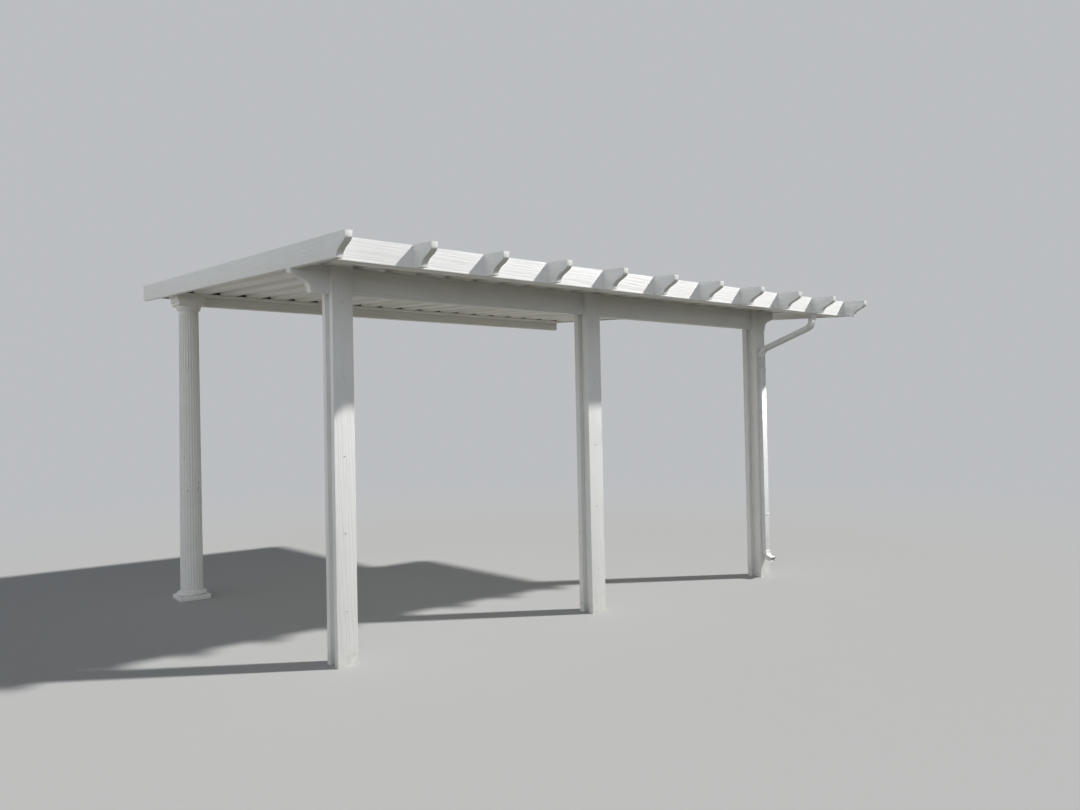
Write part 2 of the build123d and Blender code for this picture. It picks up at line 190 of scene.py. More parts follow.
def dust_and_top_shade(tree, colour, top_darkening):
    """Grey over whatever looks up, partly settled dust and partly painted shade that holds
    up-facing faces down under the key light; thinner where the rain has run over it.
    """
    looks_up = spread(tree, coordinate(tree, "Normal", "Z"), 0.14, 0.52)
    washed = noise(tree, object_space(tree), scale=6.5, detail=5.0, roughness=0.65)
    dust_and_shade_share = spread(tree, washed, 0.30, 0.66, washed_share * top_darkening, top_darkening)
    return tint(tree, combine(tree, "MULTIPLY", looks_up, dust_and_shade_share), colour, stain_and_shade_grey)


# Finishes of the pergola

grain_stretch = 0.035        # scale of the grain along its run, so that it draws out long


def grained_paint(name, along, pitch=0.0):
    """White paint on aluminium that is embossed with wood grain running along one axis."""
    material, tree, shader = new_material(name)
    stretch = [1.0, 1.0, 1.0]
    stretch[along] = grain_stretch
    grain_space = object_space(tree, stretch, pitch)
    lines = tree.nodes.new("ShaderNodeTexWave")
    lines.wave_type = "BANDS"
    lines.bands_direction = "DIAGONAL"
    lines.inputs["Scale"].default_value = 21.0
    lines.inputs["Distortion"].default_value = 11.0
    lines.inputs["Detail"].default_value = 3.5
    lines.inputs["Detail Scale"].default_value = 1.1
    lines.inputs["Detail Roughness"].default_value = 0.62
    tree.links.new(grain_space, lines.inputs["Vector"])
    waves = spread(tree, lines.outputs["Fac"], 0.05, 0.55, 0.0, 0.75)
    fibre = noise(tree, grain_space, scale=240.0, roughness=0.6)
    fibre = combine(tree, "MULTIPLY", fibre, 0.30)
    towards_end = combine(tree, "ABSOLUTE", coordinate(tree, "Normal", along), 0.0)
    smooth_caps = spread(tree, towards_end, 0.45, 0.80, 1.0, 0.06)
    grain = combine(tree, "MULTIPLY", combine(tree, "ADD", waves, fibre), smooth_caps)
    bump(tree, shader, grain, strength=0.60, distance=0.0012)

    wide_space = object_space(tree)
    stains = clouds(tree, wide_space, scale=2.3, low=0.46, high=0.74, most=0.14)
    furrows = spread(tree, grain, 0.55, 0.10, 0.0, 0.14)
    colour = tint(tree, combine(tree, "ADD", stains, furrows), frame_white, stain_and_shade_grey)
    splashes = specks(tree, wide_space, scale=26.0, low=0.40, high=0.68, most=0.42)
    colour = dirty_foot(tree, colour, splashes, clean_from=0.22)
    # up-facing faces greyed: part dust, part painted shade against the key light
    tree.links.new(dust_and_top_shade(tree, colour, 0.9), shader.inputs["Base Color"])
    uneven_gloss(tree, shader, wide_space, scale=9.0, shiny=0.36, dull=0.50)
    return material


def pan_paint():
    """Smooth baked white of the roof pans, with rain marks that run down the slope."""
    material, tree, shader = new_material("white_roof_pans")
    streak_space = object_space(tree, (1.0, 0.05, 1.0))
    streaks = clouds(tree, streak_space, scale=22.0, low=0.50, high=0.78, most=0.22)
    stains = clouds(tree, object_space(tree), scale=1.7, low=0.45, high=0.75, most=0.14)
    colour = tint(tree, combine(tree, "ADD", streaks, stains), pan_white, pan_stain)
    # up-facing faces greyed: part dust, part painted shade against the key light
    tree.links.new(dust_and_top_shade(tree, colour, 1.0), shader.inputs["Base Color"])
    uneven_gloss(tree, shader, streak_space, scale=8.0, shiny=0.30, dull=0.44)
    ripple = noise(tree, object_space(tree, (1.0, 0.12, 1.0)), scale=12.0, detail=2.0)
    bump(tree, shader, ripple, strength=0.12, distance=0.0012)
    return material


def column_paint():
    """Brushed-on satin paint of the column, chipped at hand height and dusty at the foot."""
    material, tree, shader = new_material("white_column")
    wide_space = object_space(tree)
    brush_space = object_space(tree, (1.0, 1.0, 0.06))
    strokes = noise(tree, brush_space, scale=170.0, roughness=0.6)
    stains = clouds(tree, wide_space, scale=3.1, low=0.45, high=0.75, most=0.22)
    marks = combine(tree, "ADD", stains, spread(tree, strokes, 0.35, 0.7, 0.0, 0.07))
    colour = tint(tree, marks, column_white, stain_and_shade_grey)
    height = coordinate(tree, "Object", "Z")
    above_hip = spread(tree, height, 0.80, 1.10)
    below_head = spread(tree, height, 1.75, 1.45)
    hand_height = combine(tree, "MULTIPLY", above_hip, below_head)
    chips = noise(tree, object_space(tree, (1.0, 1.0, 0.45)), scale=62.0, detail=2.0)
    chips = combine(tree, "MULTIPLY", spread(tree, chips, 0.685, 0.705), hand_height)
    colour = tint(tree, chips, colour, chipped_brown)
    grit = specks(tree, wide_space, scale=40.0, low=0.42, high=0.68, most=0.5)
    colour = dirty_foot(tree, colour, grit, clean_from=0.16)
    tree.links.new(colour, shader.inputs["Base Color"])
    uneven_gloss(tree, shader, wide_space, scale=7.0, shiny=0.40, dull=0.55)
    bump(tree, shader, strokes, strength=0.25, distance=0.0006)
    return material


def downspout_paint():
    """Glossy coil-coated white of the downspout, gutter outlet and straps."""
    material, tree, shader = new_material("white_downspout")
    wide_space = object_space(tree)
    run_space = object_space(tree, (1.0, 1.0, 0.08))
    drips = clouds(tree, run_space, scale=70.0, low=0.52, high=0.80, most=0.30)
    colour = tint(tree, drips, downspout_white, stain_and_shade_grey)
    grit = specks(tree, wide_space, scale=60.0, low=0.45, high=0.70, most=0.45)
    colour = dirty_foot(tree, colour, grit, clean_from=0.40, dirty_below=0.15)
    tree.links.new(colour, shader.inputs["Base Color"])
    uneven_gloss(tree, shader, wide_space, scale=14.0, shiny=0.22, dull=0.34)
    dents = noise(tree, wide_space, scale=18.0, detail=2.0)
    bump(tree, shader, dents, strength=0.10, distance=0.001)
    return material


def screw_paint():
    """Painted screw heads, a little worn to the metal and stained round the edge."""
    material, tree, shader = new_material("white_screw_heads")
    scratches = noise(tree, object_space(tree), scale=420.0, roughness=0.6)
    wear = spread(tree, scratches, 0.50, 0.66, 0.0, 0.8)
    tree.links.new(tint(tree, wear, screw_white, worn_metal), shader.inputs["Base Color"])
    tree.links.new(spread(tree, wear, 0.0, 1.0, 0.34, 0.62), shader.inputs["Roughness"])
    bump(tree, shader, wear, strength=0.2, distance=0.0003)
    return material


def cured_sealant():
    """Grey sealant in the gutter's ends, gone dull with silt."""
    material, tree, shader = new_material("dull_sealant_grey")
    silt = clouds(tree, object_space(tree), scale=90.0, low=0.35, high=0.7)
    tree.links.new(tint(tree, silt, sealant_grey, silt_brown), shader.inputs["Base Color"])
    shader.inputs["Roughness"].default_value = 0.7
    bump(tree, shader, silt, strength=0.3, distance=0.0008)
    return material


def dusty_foam():
    """Black closed-cell foam gone grey with dust."""
    material, tree, shader = new_material("black_foam")
    space = object_space(tree)
    dust = clouds(tree, space, scale=30.0, low=0.40, high=0.72, most=0.5)
    tree.links.new(tint(tree, dust, foam_black, foam_dust), shader.inputs["Base Color"])
    shader.inputs["Roughness"].default_value = 0.92
    cells = noise(tree, space, scale=420.0, roughness=0.6)
    bump(tree, shader, cells, strength=0.5, distance=0.0012)
    return material


grain_x = grained_paint("white_grained_lengthwise", along=0)
grain_y = grained_paint("white_grained_up_the_roof", along=1, pitch=math.atan(roof_slope))
grain_z = grained_paint("white_grained_upright", along=2)
pan_finish = pan_paint()
column_finish = column_paint()
downspout_finish = downspout_paint()
screw_finish = screw_paint()
sealant_finish = cured_sealant()
foam_finish = dusty_foam()


# Making and placing pieces

weld = 1e-6                  # vertices of a new piece this near each other are one
cad_weld = 2e-5              # the same for a CAD node's triangles
flat_within = math.radians(0.5)      # faces this near level with each other are one


def finish_piece(shape, name, material, smooth_below=32.0):
    """Turns a bmesh into a piece of the pergola that stands where it was made."""
    for face in shape.faces:
        face.smooth = True
    for edge in shape.edges:
        folded = edge.is_manifold and edge.calc_face_angle() > math.radians(smooth_below)
        edge.smooth = not folded
    mesh = bpy.data.meshes.new(name)
    shape.to_mesh(mesh)
    shape.free()
    mesh.materials.append(material)
    piece = bpy.data.objects.new(name, mesh)
    scene.collection.objects.link(piece)
    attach(piece, body)
    return piece


def face_outwards(shape):
    """Joins doubled vertices, then turns every face outwards."""
    bmesh.ops.remove_doubles(shape, verts=shape.verts[:], dist=weld)
    bmesh.ops.recalc_face_normals(shape, faces=shape.faces[:])


def stand(shape, verts, place, outward):
    """Stands what was made at the origin along Z on a place, along a direction."""
    turn = Vector(outward).to_track_quat("Z", "Y").to_matrix().to_4x4()
    bmesh.ops.transform(shape, matrix=Matrix.Translation(place) @ turn, verts=verts)


def joined_copy(node):
    """A copy of a CAD node with its triangles joined and its flat faces made whole."""
    shape = bmesh.new()
    shape.from_mesh(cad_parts[node].data)
    bmesh.ops.remove_doubles(shape, verts=shape.verts[:], dist=cad_weld)
    bmesh.ops.dissolve_limit(shape, angle_limit=flat_within, verts=shape.verts[:],
                             edges=shape.edges[:])
    return shape


def ease_arrises(shape, ease, sharp=38.0, longer_than=0.0):
    """Rounds the sharp edges of a shape by a small radius."""
    arrises = [e for e in shape.edges if e.is_manifold and e.calc_length() > longer_than
               and e.calc_face_angle() > math.radians(sharp)]
    bmesh.ops.bevel(shape, geom=arrises, offset=ease, offset_type="OFFSET", affect="EDGES",
                    segments=2, profile=0.5, clamp_overlap=True, material=-1)


def eased_member(node, material, ease):
    """A CAD node with eased arrises, in its own paint."""
    shape = joined_copy(node)
    ease_arrises(shape, ease)
    piece = finish_piece(shape, node + "_painted", material)
    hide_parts(node)


# Posts, beam, header, fascias and tails: extrusions with softly rounded arrises

post_ease = 0.0015
beam_ease = 0.0016
tail_ease = 0.0022
trim_ease = 0.0006           # edges of folded sheet

posts = ("post_1", "post_2", "post_3")
for post in posts:
    for part in ("front_plate", "rear_plate", "core"):
        eased_member(post + "_" + part, grain_z, post_ease)

for member in ("front_beam_left", "front_beam_right", "rear_header", "header_lip", "gutter"):
    eased_member(member, grain_x, beam_ease)

tails = ["rafter_tail_%d" % n for n in range(1, 10)] + ["end_tail_left", "end_tail_right"]
for member in tails + ["side_fascia_left", "side_fascia_right"]:
    eased_member(member, grain_y, tail_ease)

for member in ("rear_hanger", "short_roof_closure", "notch_side_trim"):
    eased_member(member, pan_finish, trim_ease)


# Roof pans: the long bends of the rolled sheet are rounded

pan_bend = 0.0016
pan_bend_angle = 30.0
shortest_bend = 1.0          # the ends of the pans stay sharp

pans = ["roof_pans_%d" % n for n in range(1, 6)] + ["roof_pans_short"]
for pan in pans:
    shape = joined_copy(pan)
    ease_arrises(shape, pan_bend, pan_bend_angle, shortest_bend)
    piece = finish_piece(shape, pan + "_rolled", pan_finish)
    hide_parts(pan)


# Column: shaft with hollow flutes and flat fillets, turned base and capital

column_low, column_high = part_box("column_shaft")
column_x = (column_low[0] + column_high[0]) / 2
column_y = (column_low[1] + column_high[1]) / 2
shaft_foot_radius = 0.112
shaft_head_radius = 0.097
shaft_stages = 12            # lengths that the tapered shaft is drawn up in
flutes = 24
flute_radius = 0.011
flute_offset = 0.0045        # the flute's centre lies this far outside the shaft
cuts_in_flute = 18
turned_steps = 96

plinth_height = 0.043
plinth_ease = 0.0035
torus_radius = 0.148
torus_half = 0.019           # half the torus' height
cove_reach = 0.013
neck_flare = 0.004
bell_foot_radius = 0.104
bell_swell = 0.016
bell_height = 0.048
cap_block_ease = 0.003


def fluted_radius(radius, angle):
    """Distance from the axis to the shaft's surface, measured from the middle of a flute."""
    centre = radius + flute_offset
    reach = flute_radius ** 2 - (centre * math.sin(angle)) ** 2
    if reach <= 0.0:
        return radius
    return min(radius, centre * math.cos(angle) - math.sqrt(reach))


def fluted_ring(verts, radius, height):
    """Lays a ring of vertices round the axis on the flutes and fillets."""
    pitch = 2 * math.pi / flutes
    for vert in verts:
        turn = math.atan2(vert.co.y - column_y, vert.co.x - column_x)
        angle = (turn + pitch / 2) % pitch - pitch / 2
        distance = fluted_radius(radius, angle)
        vert.co = (column_x + distance * math.cos(turn), column_y + distance * math.sin(turn),
                   height)


def column_shaft():
    """Tapered shaft, drawn up from its foot ring by ring."""
    shape = bmesh.new()
    ring = bmesh.ops.create_circle(shape, segments=flutes * cuts_in_flute, radius=1.0,
                                   cap_ends=True)["verts"]
    bmesh.ops.translate(shape, verts=ring, vec=(column_x, column_y, 0.0))
    foot = column_low[2]
    head = column_high[2]
    fluted_ring(ring, shaft_foot_radius, foot)
    top = shape.faces[:]
    for n in range(1, shaft_stages + 1):
        moved = bmesh.ops.extrude_face_region(shape, geom=top)["geom"]
        top = [g for g in moved if isinstance(g, bmesh.types.BMFace)]
        ring = [g for g in moved if isinstance(g, bmesh.types.BMVert)]
        share = n / shaft_stages
        radius = shaft_foot_radius + (shaft_head_radius - shaft_foot_radius) * share
        fluted_ring(ring, radius, foot + (head - foot) * share)
    face_outwards(shape)
    piece = finish_piece(shape, "fluted_shaft", column_finish, smooth_below=40.0)
    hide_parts("column_shaft")


def turned_moulding(outline):
    """A bmesh turned about the column's axis from (radius, height) points up its outside."""
    shape = bmesh.new()
    verts = [shape.verts.new((column_x + r, column_y, z)) for r, z in outline]
    edges = [shape.edges.new(pair) for pair in zip(verts, verts[1:])]
    bmesh.ops.spin(shape, geom=verts + edges, cent=(column_x, column_y, 0.0),
                   axis=(0.0, 0.0, 1.0), angle=2 * math.pi, steps=turned_steps, use_merge=True)
    face_outwards(shape)
    return shape


def arc(centre, radii, start, sweep, steps):
    """Points along an elliptical arc in the (radius, height) plane, angles in degrees."""
    angles = [math.radians(start + sweep * n / steps) for n in range(steps + 1)]
    return [(centre[0] + radii[0] * math.cos(a), centre[1] + radii[1] * math.sin(a))
            for a in angles]


def square_slab(shape, width, low, high, ease):
    """Square block about the column's axis with eased edges."""
    made = bmesh.ops.create_cube(shape, size=1.0)["verts"]
    bmesh.ops.scale(shape, vec=(width, width, high - low), verts=made)
    bmesh.ops.translate(shape, vec=(column_x, column_y, (low + high) / 2), verts=made)
    edges = list({edge for vert in made for edge in vert.link_edges})
    bmesh.ops.bevel(shape, geom=edges, offset=ease, offset_type="OFFSET", affect="EDGES",
                    segments=3, profile=0.5, clamp_overlap=True, material=-1)


def column_base():
    """Square plinth, full torus and a hollow that runs up to the shaft."""
    base_low, base_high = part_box("column_base")
    head = base_high[2]
    torus_middle = (torus_radius - torus_half, plinth_height + torus_half)
    torus_top = plinth_height + 2 * torus_half
    rim = shaft_foot_radius + cove_reach
    outline = [(0.0, plinth_height), (torus_radius - torus_half, plinth_height)]
    outline += arc(torus_middle, (torus_half, torus_half), start=-90, sweep=180, steps=20)
    outline += arc((rim, head), (rim - shaft_foot_radius, head - torus_top),
                   start=-90, sweep=-90, steps=10)
    outline.append((0.0, head))
    shape = turned_moulding(outline)
    square_slab(shape, base_high[0] - base_low[0], 0.0, plinth_height, plinth_ease)
    piece = finish_piece(shape, "turned_base", column_finish)
    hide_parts("column_base")


def column_capital():
    """Neck that flares from the shaft, a narrow step and the swelling bell."""
    capital_low, capital_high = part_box("column_capital")
    foot = capital_low[2]
    head = capital_high[2]
    neck_top = head - bell_height
    neck = (shaft_head_radius + neck_flare, foot)
    outline = [(0.0, foot)]
    outline += arc(neck, (neck_flare, neck_top - foot), start=180, sweep=-90, steps=10)
    outline += arc((bell_foot_radius, head), (bell_swell, head - neck_top),
                   start=-90, sweep=90, steps=20)
    outline.append((0.0, head))
    shape = turned_moulding(outline)
    piece = finish_piece(shape, "turned_capital", column_finish)
    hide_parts("column_capital")


column_shaft()
column_base()
column_capital()
eased_member("column_cap_block", column_finish, cap_block_ease)


# Downspout: corrugated sheet, crimped at its elbows

pipe_wide = 0.084
pipe_deep = 0.048
pipe_corner = 0.009
corrugation = 0.0026         # how far the flats are pressed in between the ridges
ridges_on_wide_side = 4
ridges_on_deep_side = 2
cuts_in_flat = 23
sheet_thick = 0.0012
elbow_crimp = 0.965          # size of the pipe where an elbow is drawn in
slip_size = 0.955            # size of a lower end that slips into the next pipe
slip_shoulder = (0.010, 0.006)   # the sheet is drawn in between these heights over the end
elbow_radius = 0.095
lower_elbow_rise = 0.068     # the lower elbow's corner over the long pipe
shoe_radius = 0.072
shoe_turn = math.radians(72.0)
shoe_neck = 0.014            # straight stretch above the shoe's bend
shoe_lead = 0.038            # straight stretch behind its mouth
down = Vector((0.0, 0.0, -1.0))

pipe_low, pipe_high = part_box("downspout_pipe")
pipe_x = (pipe_low[0] + pipe_high[0]) / 2
pipe_y = (pipe_low[1] + pipe_high[1]) / 2
pipe_top = pipe_high[2]
shoe_top = pipe_low[2]
outlet_low, outlet_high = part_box("gutter_outlet")
outlet_x = (outlet_low[0] + outlet_high[0]) / 2
outlet_y = (outlet_low[1] + outlet_high[1]) / 2


def pressed_in(place, side, ridges):
    """How far a flat is pressed in at a place along it: not at all at its ends and ridges."""
    run = side - 2 * pipe_corner
    share = (place + run / 2) / run
    return corrugation * (0.5 - 0.5 * math.cos(2 * math.pi * ridges * share))


def corrugated_ring(shape):
    """Rounded rectangle round the origin, its flats pressed in between narrow ridges."""
    verts = bmesh.ops.create_circle(shape, segments=4, radius=1.0, cap_ends=False)["verts"]
    eighth_turn = Matrix.Rotation(math.pi / 4, 3, "Z")
    bmesh.ops.rotate(shape, cent=(0, 0, 0), matrix=eighth_turn, verts=verts)
    half = math.sqrt(0.5)
    bmesh.ops.scale(shape, vec=(pipe_wide / 2 / half, pipe_deep / 2 / half, 1.0), verts=verts)
    bmesh.ops.bevel(shape, geom=verts, offset=pipe_corner, offset_type="OFFSET",
                    affect="VERTICES", segments=4, profile=0.5, clamp_overlap=True, material=-1)
    flats = [e for e in shape.edges if e.calc_length() > 2 * pipe_corner]
    bmesh.ops.subdivide_edges(shape, edges=flats, cuts=cuts_in_flat)
    on_flat = 1e-5
    for vert in shape.verts:
        x, y = vert.co.x, vert.co.y
        if abs(abs(y) - pipe_deep / 2) < on_flat:
            vert.co.y -= math.copysign(pressed_in(x, pipe_wide, ridges_on_wide_side), y)
        elif abs(abs(x) - pipe_wide / 2) < on_flat:
            vert.co.x -= math.copysign(pressed_in(y, pipe_deep, ridges_on_deep_side), x)
    return shape.edges[:], shape.verts[:]


def station(place, along, size=1.0):
    """Where a ring of the pipe stands: its wide side near X, its axis along the run."""
    along = along.normalized()
    wide = (Vector((1, 0, 0)) - along * along.x).normalized()
    deep = along.cross(wide)
    turn = Matrix((wide, deep, along)).transposed().to_4x4()
    return Matrix.Translation(place) @ turn @ Matrix.Diagonal((size, size, 1.0, 1.0))


def elbow_stations(corner, way_in, way_out, radius, crimps):
    """Stations round an elbow, every second one drawn in as a crimp."""
    turn = way_in.angle(way_out)
    inward = (way_out - way_in * way_in.dot(way_out)).normalized()
    start = corner - way_in * (radius * math.tan(turn / 2))
    pivot = start + inward * radius
    stations = []
    for n in range(2 * crimps + 1):
        angle = turn * n / (2 * crimps)
        place = pivot - inward * (radius * math.cos(angle)) + way_in * (radius * math.sin(angle))
        along = way_in * math.cos(angle) + inward * math.sin(angle)
        stations.append(station(place, along, elbow_crimp if n % 2 else 1.0))
    return stations


def slipped_end(height):
    """Stations of a lower end at a height on the long pipe's line, drawn in to slip."""
    above, below = slip_shoulder
    return [station(Vector((pipe_x, pipe_y, height + above)), down),
            station(Vector((pipe_x, pipe_y, height + below)), down, slip_size),
            station(Vector((pipe_x, pipe_y, height)), down, slip_size)]


def pipe_through(stations, name, node):
    """Sheet pipe drawn from one station to the next."""
    shape = bmesh.new()
    edges, verts = corrugated_ring(shape)
    bmesh.ops.transform(shape, matrix=stations[0], verts=verts)
    for here, after in zip(stations, stations[1:]):
        drawn = bmesh.ops.extrude_edge_only(shape, edges=edges)["geom"]
        verts = [g for g in drawn if isinstance(g, bmesh.types.BMVert)]
        fresh = set(verts)
        edges = [g for g in drawn if isinstance(g, bmesh.types.BMEdge) and set(g.verts) <= fresh]
        bmesh.ops.transform(shape, matrix=after @ here.inverted(), verts=verts)
    face_outwards(shape)
    piece = finish_piece(shape, name, downspout_finish, smooth_below=50.0)
    wall = piece.modifiers.new("sheet", "SOLIDIFY")
    wall.thickness = sheet_thick
    wall.offset = -1.0
    wall.use_rim = True
    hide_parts(node)


offset_start = Vector((outlet_x, outlet_y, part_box("downspout_offset")[1][2]))
upper_corner = offset_start + down * elbow_radius
lower_corner = Vector((pipe_x, pipe_y, pipe_top + lower_elbow_rise))
slant = (lower_corner - upper_corner).normalized()
offset_run = [station(offset_start, down)]
offset_run += elbow_stations(upper_corner, down, slant, elbow_radius, crimps=9)
offset_run += elbow_stations(lower_corner, slant, down, elbow_radius, crimps=6)
offset_run += slipped_end(pipe_top)
pipe_through(offset_run, "offset_pipe_with_elbows", "downspout_offset")

pipe_start = station(Vector((pipe_x, pipe_y, pipe_top)), down)
pipe_through([pipe_start] + slipped_end(shoe_top), "long_pipe", "downspout_pipe")

kick = Vector((0.0, -math.sin(shoe_turn), -math.cos(shoe_turn)))
shoe_start = Vector((pipe_x, pipe_y, shoe_top))
shoe_corner = shoe_start + down * (shoe_neck + shoe_radius * math.tan(shoe_turn / 2))
shoe_mouth = shoe_corner + kick * (shoe_radius * math.tan(shoe_turn / 2) + shoe_lead)
shoe_run = [station(shoe_start, down)]
shoe_run += elbow_stations(shoe_corner, down, kick, shoe_radius, crimps=7)
shoe_run.append(station(shoe_mouth, kick))
pipe_through(shoe_run, "kick_out_shoe", "downspout_shoe")

for node in ("gutter_outlet", "downspout_straps"):
    eased_member(node, downspout_finish, trim_ease)


# Screws: hexagon heads on round washers

washer_thick = 0.0014
washer_radii = (0.78, 0.70)  # at its foot and its top, for each unit of the screw's width
head_height = 0.0046
head_radii = (0.52, 0.46)
head_middle = 0.0036         # the head's middle over the place where it is set
post_screw = 0.0095          # widths of the screws
strap_screw = 0.009
roof_screw = 0.008


def screw_head(shape, place, outward, width):
    """One head set on a place, standing along outward."""
    washer = bmesh.ops.create_cone(
        shape, cap_ends=True, segments=16, radius1=width * washer_radii[0],
        radius2=width * washer_radii[1], depth=washer_thick)["verts"]
    bmesh.ops.translate(shape, verts=washer, vec=(0.0, 0.0, washer_thick / 2))
    head = bmesh.ops.create_cone(
        shape, cap_ends=True, segments=6, radius1=width * head_radii[0],
        radius2=width * head_radii[1], depth=head_height)["verts"]
    bmesh.ops.translate(shape, verts=head, vec=(0.0, 0.0, head_middle))
    stand(shape, washer + head, place, outward)


def screws(name, places, outward, width):
    """All the screws of one kind, as one piece."""
    shape = bmesh.new()
    for place in places:
        screw_head(shape, place, outward, width)
    piece = finish_piece(shape, name, screw_finish, smooth_below=25.0)


post_screw_heights = (0.412, 0.987, 1.556, 2.130, 2.700)
front_places = []
rear_places = []
for post in posts:
    low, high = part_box(post + "_front_plate")
    middle = (low[0] + high[0]) / 2
    rear_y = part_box(post + "_rear_plate")[1][1]
    hidden_by_pipe = post == "post_3"
    for height in post_screw_heights:
        if not hidden_by_pipe:
            front_places.append((middle, low[1], height))
        rear_places.append((middle, rear_y, height))
screws("post_front_screws", front_places, (0, -1, 0), post_screw)
screws("post_rear_screws", rear_places, (0, 1, 0), post_screw)

strap_low, strap_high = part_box("downspout_straps")
strap_heights = (2.300, 0.700)
strap_thick = 0.0016
from_ear_end = 0.011
strap_places = [(x, strap_high[1] - strap_thick, height) for height in strap_heights
                for x in (strap_low[0] + from_ear_end, strap_high[0] - from_ear_end)]
screws("strap_screws", strap_places, (0, -1, 0), strap_screw)


# Roof fasteners: screws down through the pans and up through the trims

rib_pitch = 0.2728
rib_foot_half = 0.060
rib_crown_half = 0.028
rib_height = 0.060
pan_thick = 0.002
pan_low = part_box("roof_pans_1")[0]
gutter_low, gutter_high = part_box("gutter")
beam_low, beam_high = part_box("front_beam_left")
lip_low, lip_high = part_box("header_lip")
hanger_low, hanger_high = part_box("rear_hanger")
closure_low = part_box("short_roof_closure")[0]
trim_low, trim_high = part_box("notch_side_trim")
up_from_roof = (0.0, -roof_slope, 1.0)
down_from_roof = (0.0, roof_slope, -1.0)
first_rib_offset = 0.1492    # left edge of the pans to the first rib's middle
first_rib_x = pan_low[0] + first_rib_offset
first_flat_x = first_rib_x + rib_pitch / 2
beside_seam = 0.034          # screws stand this far from the middle of a flat strip
clear_of_edge = 0.02


def roof_z(y):
    """Height of the pans' flat underside at depth y."""
    return pan_low[2] + roof_slope * (y - pan_low[1])


def flat_places(x0, x1, y, lift):
    """Two places on each flat strip between x0 and x1, one on each side of its middle."""
    places = []
    flats = math.ceil((x1 - x0) / rib_pitch)
    start = max(0, math.ceil((x0 - first_flat_x) / rib_pitch))
    for n in range(start, start + flats):
        for side in (-beside_seam, beside_seam):
            x = first_flat_x + n * rib_pitch + side
            if x0 + clear_of_edge < x < x1 - clear_of_edge:
                places.append((x, y, roof_z(y) + lift))
    return places


in_gutter_flange = 0.011     # screws stand this far in from a flange's edge
in_hanger_flange = 0.014
in_closure_flange = 0.010
in_trim_flange = 0.011
roof_left = gutter_low[0]
roof_right = gutter_high[0]
notch_x = hanger_high[0]
flange_y = gutter_high[1] - in_gutter_flange
beam_y = (beam_low[1] + beam_high[1]) / 2
lip_y = (lip_low[1] + lip_high[1]) / 2
hanger_y = hanger_low[1] + in_hanger_flange
closure_y = closure_low[1] + in_closure_flange

top_places = flat_places(roof_left, roof_right, flange_y, pan_thick)
top_places += flat_places(roof_left, roof_right, beam_y, pan_thick)
top_places += flat_places(roof_left, lip_high[0], lip_y, pan_thick)
screws("pan_screws", top_places, up_from_roof, roof_screw)

under_places = flat_places(roof_left, notch_x, hanger_y, -pan_thick)
under_places += flat_places(notch_x, roof_right, closure_y, -pan_thick)
screws("hanger_screws", under_places, down_from_roof, roof_screw)

trim_screw_x = trim_low[0] + in_trim_flange
trim_screw_pitch = 0.42
first_trim_screw = 0.06      # from the trim's front end
free_ends = 0.1              # length of the trim's two ends without screws
trim_count = int((trim_high[1] - trim_low[1] - free_ends) / trim_screw_pitch)
trim_places = []
for n in range(trim_count + 1):
    y = trim_low[1] + first_trim_screw + n * trim_screw_pitch
    trim_places.append((trim_screw_x, y, roof_z(y) - pan_thick))
screws("trim_screws", trim_places, down_from_roof, roof_screw)


# Seams between the sheets of the roof: a folded lap under the middle of the flat

lap_width = 0.021
lap_thick = 0.0012
lap_hook = 0.0055            # the lap's edge is turned down this far
hook_thick = 0.0024
lap_end = 0.04               # laps stop this far short of the pans' rear edge
sheet_ease = 0.0004


def sloped_strip(shape, x0, x1, y0, y1, low, high):
    """Bar that follows the roof's slope, from low to high over the pans' underside."""
    for vert in bmesh.ops.create_cube(shape, size=1.0)["verts"]:
        y = y1 if vert.co.y > 0 else y0
        lift = high if vert.co.z > 0 else low
        vert.co = (x1 if vert.co.x > 0 else x0, y, roof_z(y) + lift)


def pan_laps():
    """The laps from just behind the beam to the pans' rear edge, each with its turned-down hook."""
    shape = bmesh.new()
    for n in range(2, 6):
        low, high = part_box("roof_pans_%d" % n)
        joint = low[0]
        y0 = beam_high[1]
        y1 = high[1] - lap_end
        sloped_strip(shape, joint - lap_width, joint, y0, y1, -lap_thick, 0.0)
        sloped_strip(shape, joint - hook_thick, joint, y0, y1, -lap_hook, -lap_thick)
    ease_arrises(shape, sheet_ease)
    piece = finish_piece(shape, "pan_laps", pan_finish)


pan_laps()


# Foam closures in the ribs, stood on the lip over the header

foam_fit = 0.0004            # play between the foam and the rib
foam_thick = 0.028
foam_set_back = 0.006        # from the lip's front edge
foam_ease = 0.0012


def rib_closures():
    """One block of foam in each rib that crosses the lip."""
    shape = bmesh.new()
    front = lip_low[1] + foam_set_back
    base = roof_z(front)
    foot = rib_foot_half - foam_fit
    crown = rib_crown_half - foam_fit
    top = rib_height - foam_fit
    outline = [(-foot, foam_fit), (foot, foam_fit), (crown, top), (-crown, top)]
    count = int((lip_high[0] - rib_foot_half - first_rib_x) / rib_pitch) + 1
    for n in range(count):
        centre = first_rib_x + n * rib_pitch
        verts = [shape.verts.new((centre + x, front, base + z)) for x, z in outline]
        face = shape.faces.new(verts)
        pushed = bmesh.ops.extrude_face_region(shape, geom=[face])["geom"]
        moved = [g for g in pushed if isinstance(g, bmesh.types.BMVert)]
        bmesh.ops.translate(shape, verts=moved, vec=(0.0, foam_thick, foam_thick * roof_slope))
    face_outwards(shape)
    ease_arrises(shape, foam_ease)
    piece = finish_piece(shape, "rib_closures", foam_finish)


rib_closures()


# Sealant where the gutter's trough meets the tails at its ends

gutter_wall = 0.003
gutter_floor = gutter_low[2] + gutter_wall
gutter_bead_reach = 0.008    # the bead along the gutter's foot stands this far out
trough_depth = 0.110
front_seam_height = 0.140
rear_seam_height = 0.080
sealant_radius = 0.0035
sealant_set_in = 0.4         # share of the radius that the beads stand in from the ends


